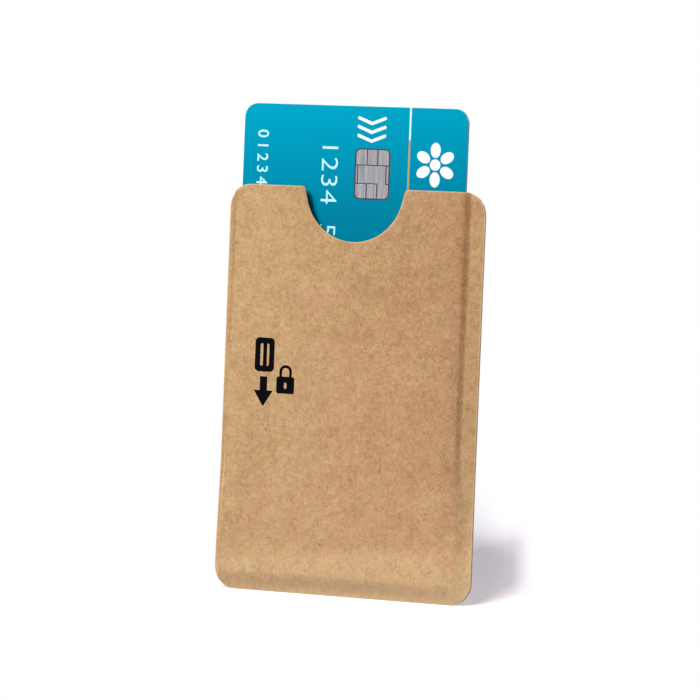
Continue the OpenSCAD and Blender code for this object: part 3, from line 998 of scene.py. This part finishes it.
def sheet(name, look, inner, thickness, towards, inset=0.0, edge=0.0):
    """One pressed sheet of the sleeve, on its side of the seam; towards is -1 in front."""
    left, right, low, high = sleeve_box()
    front, back = sorted((inner * towards, (inner + thickness) * towards))
    piece = slab(name, (left + inset, front, low + inset), (right - inset, back, high - inset))
    round_corners(piece, look.corner - inset)
    for cutter in notch_cutter(look, inset):
        combine(piece, cutter)
    mouth = high - inset - TOUCH
    lips = look.notch_radius + inset
    round_edges(
        piece, lambda edge: runs_through(edge) and edge.verts[0].co.z > mouth
        and abs(edge.verts[0].co.x) < lips + MM, look.lip, LIP_SEGMENTS,
    )
    if edge:
        ease(piece, edge)
    score(piece, *sheet_lines(look))
    press(piece, look, towards, towards < 0)
    flare(piece, look)
    smooth(piece)
    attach(piece, "sleeve")
    return piece


def seam(name, look, node, towards):
    """Glue of a side seam, whose corners follow the paper's; towards is -1 on the left."""
    left, right, low, high = sleeve_box()
    half = look.glue / 2
    piece = round_corners(slab(name, (left, -half, low), (right, half, high)), look.corner)
    near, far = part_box(node)
    start, stop = (far.x, right + CUT_SPARE) if towards < 0 else (left - CUT_SPARE, near.x)
    rest = slab("rest", (start, -CUT_SPARE, low - CUT_SPARE), (stop, CUT_SPARE, high + CUT_SPARE))
    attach(combine(piece, rest), "sleeve")
    return piece


def stamped(piece, look):
    """Lays a flat mark on the front panel, so that it follows the panel's swell."""
    left, right, low, high = sleeve_box()
    wide = [vertex.co.x for vertex in piece.data.vertices]
    tall = [vertex.co.z for vertex in piece.data.vertices]
    across = [x for x in steps(left, right, MARK_ACROSS) if min(wide) < x < max(wide)]
    upright = [z for z in steps(low, high, MARK_UP) if min(tall) < z < max(tall)]
    score(piece, across, upright)
    return press(piece, look, -1, True)


def join(name, pieces):
    """Joins pieces that lie apart into one object."""
    take(pieces[0])
    for piece in pieces[1:]:
        piece.select_set(True)
    bpy.ops.object.join()
    joined = bpy.context.object
    joined.name = joined.data.name = name
    return joined


def bar(name, face, ink, left, right, low, high, corner=0.0):
    """Flat bar that reaches a little to both sides of a face, with round corners if asked for."""
    piece = slab(name, (left, face - ink, low), (right, face + ink, high))
    return round_corners(piece, corner, PRINT_SEGMENTS) if corner else piece


def digits(name, text, height, width, pitch, line, start, face, ink, weight):
    """Row of plain digits that reads downwards, each in the middle of its own space."""
    pieces = []
    for index, figure in enumerate(text):
        if figure == " ":
            continue
        deselect()
        bpy.ops.object.text_add()
        piece = bpy.context.object
        piece.data.body = figure
        piece.data.align_x = "CENTER"
        piece.data.size = height / DIGIT_SHARE
        piece.data.offset = weight
        piece.data.extrude = ink
        piece.data.resolution_u = DIGIT_STEPS
        bpy.ops.object.convert(target="MESH")
        piece = bpy.context.object
        piece.matrix_world = Matrix.Translation((line, face, start - index * pitch)) @ READ_DOWN
        piece.scale.x = width
        take(piece)
        bpy.ops.object.transform_apply(location=True, rotation=True, scale=True)
        pieces.append(piece)
    return join(name, pieces)


class CardHolderStep:
    """What every step shares."""

    bl_options = {"REGISTER", "UNDO"}

    def execute(self, context):
        look = context.scene.card_holder
        self.make(look)
        return {"FINISHED"}


class CARDHOLDER_OT_paper(CardHolderStep, bpy.types.Operator):
    """Makes the two kraft panels, pressed round the card, with the thumb notch"""

    bl_idname = "card_holder.paper"
    bl_label = "Kraft panels"

    def make(self, look):
        sleeve = look.sleeve
        finish = kraft_finish(sleeve)
        inner = sleeve.glue / 2 + sleeve.foil
        for name, towards, node in (
            ("front_panel", -1, "front_kraft"), ("back_panel", 1, "back_kraft"),
        ):
            piece = sheet(name, sleeve, inner, sleeve.paper, towards, edge=sleeve.edge)
            stand_in(piece, finish, node)


class CARDHOLDER_OT_lining(CardHolderStep, bpy.types.Operator):
    """Makes the two foil linings and the glue in the seams"""

    bl_idname = "card_holder.lining"
    bl_label = "Foil linings and seams"

    def make(self, look):
        sleeve = look.sleeve
        finish = foil_finish(sleeve)
        for name, towards, node in (
            ("front_lining", -1, "front_foil"), ("back_lining", 1, "back_foil"),
        ):
            piece = sheet(
                name, sleeve, sleeve.glue / 2, sleeve.foil, towards, inset=sleeve.foil_inset
            )
            stand_in(piece, finish, node)
        glue = plain_finish(
            "seam_glue", sleeve.glue_colour, size=0.7, gain=0.3, rough=(0.35, 0.6), specular=0.4
        )
        for name, towards, node in (
            ("left_glue", -1, "left_seam_glue"), ("right_glue", 1, "right_seam_glue"),
        ):
            stand_in(seam(name, sleeve, node, towards), glue, node)
        repaint(("bottom_seam_glue",), glue)


class CARDHOLDER_OT_mark(CardHolderStep, bpy.types.Operator):
    """Prints the plain card, arrow and padlock signs on the front panel"""

    bl_idname = "card_holder.mark"
    bl_label = "Printed signs"

    def make(self, look):
        sleeve = look.sleeve
        face = -(sleeve.glue / 2 + sleeve.foil + sleeve.paper)

        def block(name):
            return bar(name, face, sleeve.ink, *(edge * MM for edge in SIGN_BLOCKS[name]))

        def pierced(name, hole):
            through = bar(hole, 0.0, CUT_SPARE, *(edge * MM for edge in SIGN_BLOCKS[hole]))
            return combine(block(name), through)

        card = combine(pierced("card", "card_hole"), block("card_stripe"), "UNION")
        shaft = block("arrow_shaft")
        head = block("arrow_head")
        left, right, point = (edge * MM for edge in SIGN_BLOCKS["arrow_head"][:3])
        with editing(head):
            pick(head, "VERT", lambda vertex: vertex.co.z < point + TOUCH)
            bpy.ops.transform.resize(
                value=(POINT_SHARE, 1, 1), center_override=((left + right) / 2, 0, point)
            )
        arrow = combine(head, shaft, "UNION")
        lock = combine(pierced("lock", "keyhole"), pierced("bow", "bow_hole"), "UNION")
        finish = ink_finish(
            "black_ink", sleeve.ink_colour, roughness=0.65, specular=0.02, grain_size=0.25,
            depth=0.008,
        )
        for name, piece in (("sign_card", card), ("sign_arrow", arrow), ("sign_padlock", lock)):
            piece.name = piece.data.name = name
            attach(dress(smooth(stamped(piece, sleeve)), finish), "sleeve")


class CARDHOLDER_OT_card(CardHolderStep, bpy.types.Operator):
    """Finishes the layers of the card and the parts inside it"""

    bl_idname = "card_holder.card"
    bl_label = "Card layers"

    def make(self, look):
        card = look.card
        punched = {
            "lines": (0, 3.0, 0.05), "gain": 0.2, "rough": (0.42, 0.6), "depth": 0.006,
            "specular": 0.3,
        }
        sheets = plain_finish("sheet_edge", card.low_colour, **punched)
        stripe = plain_finish(
            "magnetic_stripe", shade(44, 35, 32), lines=(90, 20.0, 0.12), gain=0.4,
            rough=(0.24, 0.36), depth=0.003,
        )
        copper = plain_finish(
            "antenna_copper", shade(196, 128, 84), size=0.3, rough=(0.3, 0.45), metallic=1.0
        )
        tape = plain_finish("carrier_tape", card.tape_colour, size=0.2, rough=(0.5, 0.65))
        glue = plain_finish("chip_glue", shade(206, 200, 180), size=0.3, rough=(0.4, 0.55))
        resin = plain_finish("resin", shade(30, 30, 34), size=0.4, rough=(0.25, 0.4))
        die = plain_finish(
            "silicon", shade(112, 118, 132), size=0.5, rough=(0.12, 0.27), depth=0.001,
            metallic=0.6,
        )
        repaint(("card_front_film", "card_back_film"), print_finish(card))
        repaint(("card_front_sheet", "card_back_sheet"), sheets)
        repaint(("card_inlay",), plain_finish("card_core", card.core_colour, **punched))
        repaint(("magnetic_stripe",), stripe)
        repaint(("signature_panel",), signature_finish())
        repaint(("antenna_coil", "antenna_bridge"), copper)
        repaint(("chip_carrier",), tape)
        repaint(("chip_glue",), glue)
        repaint(("chip_resin",), resin)
        repaint(("chip_die",), die)


class CARDHOLDER_OT_prints(CardHolderStep, bpy.types.Operator):
    """Prints the digits, the chevrons, the thin line and the rosette on the card"""

    bl_idname = "card_holder.prints"
    bl_label = "Card prints"

    def make(self, look):
        card = look.card
        face, ink = CARD_BOX[0].y, card.ink
        low, high = CARD_BOX[0].z, CARD_BOX[1].z

        def printed(name, tone, roughness=0.4, specular=0.2):
            return ink_finish(name, tone, roughness, specular, grain_size=0.2, depth=0.003)

        white = printed("white_ink", card.white_colour)
        pale = printed("pale_ink", card.pale_colour)
        gold = printed("gold_ink", card.gold_colour, roughness=0.35, specular=0.3)
        thin = printed("line_ink", card.line_colour)
        number = digits(
            "card_number", card.number, card.number_height, card.number_width, card.number_pitch,
            card.number_x, card.number_z, face, ink, NUMBER_WEIGHT,
        )
        code = digits(
            "card_code", card.code, card.code_height, 1.0, card.code_pitch,
            card.code_x, card.code_z, face, ink, CODE_WEIGHT,
        )
        left = card.line_x - card.line_width / 2
        right = card.line_x + card.line_width / 2
        upper = bar("line_white", face, ink, left, right, card.line_change, high)
        lower = bar("line_gold", face, ink, left, right, low, card.line_change)
        finishes = (
            (number, pale), (code, pale), (upper, thin), (lower, gold),
            (self.chevrons(face, ink), white), (self.rosette(face, ink), white),
        )
        for piece, finish in finishes:
            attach(dress(piece, finish), "card")

    def chevrons(self, face, ink):
        """Equal chevrons that point into the pocket."""
        middle = (CHEVRON_LEFT + CHEVRON_RIGHT) / 2
        rows = []
        for step in range(CHEVRONS):
            foot = CHEVRON_FOOT + CHEVRON_PITCH * step
            piece = bar(
                "chevron", face, ink, CHEVRON_LEFT, CHEVRON_RIGHT, foot, foot + CHEVRON_WIDTH,
                CHEVRON_CORNER,
            )
            score(piece, [middle])
            with editing(piece):
                pick(piece, "VERT", lambda vertex: abs(vertex.co.x - middle) < TOUCH)
                bpy.ops.transform.translate(value=(0, 0, -CHEVRON_DIP))
            rows.append(piece)
        return join("card_chevrons", rows)

    def rosette(self, face, ink):
        """Rosette of long petals round a disc."""
        centre = Vector((ROSETTE_X, face, ROSETTE_Z))
        seat = centre + Vector((0, 0, PETAL_REACH))
        petals = [disc("petal", centre, BUD_RADIUS, 2 * ink, DISC_POINTS)]
        for index in range(PETALS):
            petal = disc("petal", seat, PETAL_RADIUS, 2 * ink, DISC_POINTS)
            with editing(petal):
                bpy.ops.mesh.select_all(action="SELECT")
                bpy.ops.transform.resize(value=(1, 1, PETAL_STRETCH), center_override=seat)
                bpy.ops.transform.rotate(
                    value=index * math.tau / PETALS, orient_axis="Y", center_override=centre
                )
            petals.append(petal)
        return join("card_rosette", petals)


class CARDHOLDER_OT_chip(CardHolderStep, bpy.types.Operator):
    """Makes the chip's eight contacts, with a dark rim round them"""

    bl_idname = "card_holder.chip"
    bl_label = "Chip contacts"

    def make(self, look):
        card = look.card
        low, high = CARRIER_BOX
        front, back = CONTACT_BOX[0].y, CONTACT_BOX[1].y
        rim, half = card.rim, card.gap / 2
        plate = slab(
            "chip_contact_plate", (low.x + rim, front, low.z + rim),
            (high.x - rim, back, high.z - rim),
        )
        round_corners(plate, card.chip_corner - rim, CHIP_SEGMENTS)
        width, height = high.x - low.x, high.z - low.z
        lower, upper = (low.z + share * height for share in CHIP_ROWS)
        columns = [low.x + share * width for share in CHIP_COLUMNS]
        sides = [low.x + share * width for share in CHIP_SIDES]
        west, east = low.x - GROOVE_SPARE, high.x + GROOVE_SPARE
        south, north = low.z - GROOVE_SPARE, high.z + GROOVE_SPARE
        cuts = [(west, lower, columns[1], lower), (sides[1], lower, east, lower)]
        cuts.append((west, upper, east, upper))
        for x in columns:
            cuts += [(x, south, x, lower), (x, upper, x, north)]
        cuts += [(x, lower, x, upper) for x in sides]
        for left, foot, right, head in cuts:
            groove = slab(
                "groove", (left - half, front - GROOVE_SPARE, foot - half),
                (right + half, back + GROOVE_SPARE, head + half),
            )
            combine(plate, groove)
        ease(plate, CONTACT_EDGE)
        smooth(plate, CONTACT_LIMIT)
        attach(plate, "card")
        stand_in(plate, contact_finish(card), "chip_contacts")


class CARDHOLDER_OT_stage(CardHolderStep, bpy.types.Operator):
    """Lays the floor, hangs the lights and sets up the camera"""

    bl_idname = "card_holder.stage"
    bl_label = "Stage"

    def make(self, look):
        stage = look.stage
        floor = self.floor(stage)
        self.world(stage)
        self.lights(stage, floor)
        self.camera(stage)
        bpy.context.scene.view_settings.view_transform = "Standard"

    def floor(self, stage):
        """Pale floor that keeps the shadow, toned by a painted glow and painted white past set
        lines; the camera sees its lit parts as white.
        """
        deselect()
        bpy.ops.mesh.primitive_plane_add(size=FLOOR_SIZE)
        plane = named("floor")
        finish = new_finish("floor")
        spot = finish.spot()
        x, y, _ = finish.parts(spot)
        grain = finish.cloud(spot, size=40.0, detail=2.0)
        tone = finish.toned(stage.floor_colour, 0.98 + grain * 0.03)
        matt = finish.node("BsdfDiffuse", inputs={"Color": tone})
        dim = finish.node("BsdfDiffuse", inputs={"Color": finish.toned(tone, FLOOR_SHARE)})
        white = finish.glow((1, 1, 1))
        aside = x + y * SHADOW_SLANT
        rim = aside + finish.fade(y, "shadow_back") + finish.fade(y, "shadow_front")
        # Painted shade: the shadow's glow is darker next to the object and lighter towards its rim
        shadow = finish.mixed(
            finish.fade(rim, "shadow_rim"), finish.glow(stage.shadow_colour),
            finish.glow(stage.shadow_edge),
        )
        # Painted light: past these lines the camera sees the floor white, which cuts the shadow off
        clear = finish.largest([
            finish.fade(finish.maths("SQRT", x * x + y * y), "floor_far"),
            finish.fade(aside, "floor_right"), finish.fade(aside, "floor_left"),
        ])
        lit = finish.mixed(clear, finish.node("AddShader", inputs={0: matt, 1: shadow}), white)
        seen = finish.mixed(finish.ray("Is Camera Ray"), dim, lit)
        both = finish.mixed(finish.ray("Is Glossy Ray", "Is Transmission Ray"), seen, white)
        finish.node("OutputMaterial", inputs={"Surface": both})
        dress(plane, finish.owner)
        return plane

    def world(self, stage):
        """Even soft light, seen as white by the camera and in reflections."""
        world = bpy.data.worlds.new("studio")
        bpy.context.scene.world = world
        finish = Finish(world)
        seen = finish.ray("Is Camera Ray", "Is Glossy Ray", "Is Transmission Ray")
        strength = seen * (1.0 - stage.ambient) + stage.ambient
        sky = finish.node("Background", inputs={"Color": (1, 1, 1, 1), "Strength": strength})
        finish.node("OutputWorld", inputs={"Surface": sky})

    def heading(self, turn, lift):
        """Direction at a turn about the object, 0 in front and growing to its right."""
        flat = math.cos(lift)
        return Vector((math.sin(turn) * flat, -math.cos(turn) * flat, math.sin(lift)))

    def lights(self, stage, floor):
        """Soft square lights: two for the object, and one that lays its shadow on the floor."""
        for name, power, size, distance, azimuth, elevation, state in LAMPS:
            towards = self.heading(math.radians(azimuth), math.radians(elevation))
            deselect()
            bpy.ops.object.light_add(type="AREA", location=Vector(stage.aim) + towards * distance)
            light = bpy.context.object
            light.name = light.data.name = name
            light.rotation_euler = towards.to_track_quat("Z", "Y").to_euler()
            light.data.shape = "SQUARE"
            light.data.size = size
            light.data.energy = getattr(stage, power)
            lit = bpy.data.collections.new(f"lit_by_{name}")
            lit.objects.link(floor)
            lit.collection_objects[0].light_linking.link_state = state
            light.light_linking.receiver_collection = lit

    def camera(self, stage):
        """Camera at the angle, distance and crop that fit the object's real size."""
        deselect()
        back = self.heading(stage.yaw, stage.pitch)
        bpy.ops.object.camera_add(location=Vector(stage.aim) + back * stage.distance)
        camera = bpy.context.object
        camera.name = camera.data.name = "camera"
        level = back.to_track_quat("Z", "Y").to_matrix()
        camera.rotation_euler = (level @ Matrix.Rotation(stage.roll, 3, "Z")).to_euler()
        camera.data.sensor_width = SENSOR
        camera.data.lens = stage.focal / stage.frame_width * SENSOR
        camera.data.shift_x = -stage.shift_right / stage.frame_width
        camera.data.shift_y = stage.shift_down / stage.frame_width
        camera.data.clip_start = NEAREST
        camera.data.clip_end = FURTHEST
        bpy.context.scene.camera = camera


STEPS = (
    CARDHOLDER_OT_paper, CARDHOLDER_OT_lining, CARDHOLDER_OT_mark, CARDHOLDER_OT_card,
    CARDHOLDER_OT_prints, CARDHOLDER_OT_chip, CARDHOLDER_OT_stage,
)


class CARDHOLDER_PT_steps(bpy.types.Panel):
    """Steps and settings of the card holder"""

    bl_label = "Card Holder"
    bl_space_type = "VIEW_3D"
    bl_region_type = "UI"
    bl_category = "Card Holder"

    def draw(self, context):
        for step in STEPS:
            self.layout.operator(step.bl_idname)
        look = context.scene.card_holder
        for group in (look.sleeve, look.card, look.stage):
            box = self.layout.box()
            for name in group.__annotations__:
                box.prop(group, name)


CLASSES = (SleeveLook, CardLook, StageLook, CardHolderLook, *STEPS, CARDHOLDER_PT_steps)


def register():
    for kind in CLASSES:
        bpy.utils.register_class(kind)
    bpy.types.Scene.card_holder = PointerProperty(type=CardHolderLook)


def unregister():
    del bpy.types.Scene.card_holder
    for kind in reversed(CLASSES):
        bpy.utils.unregister_class(kind)


def main():
    register()
    for step in STEPS:
        group, name = step.bl_idname.split(".")
        getattr(getattr(bpy.ops, group), name)()


if __name__ == "__main__":
    main()
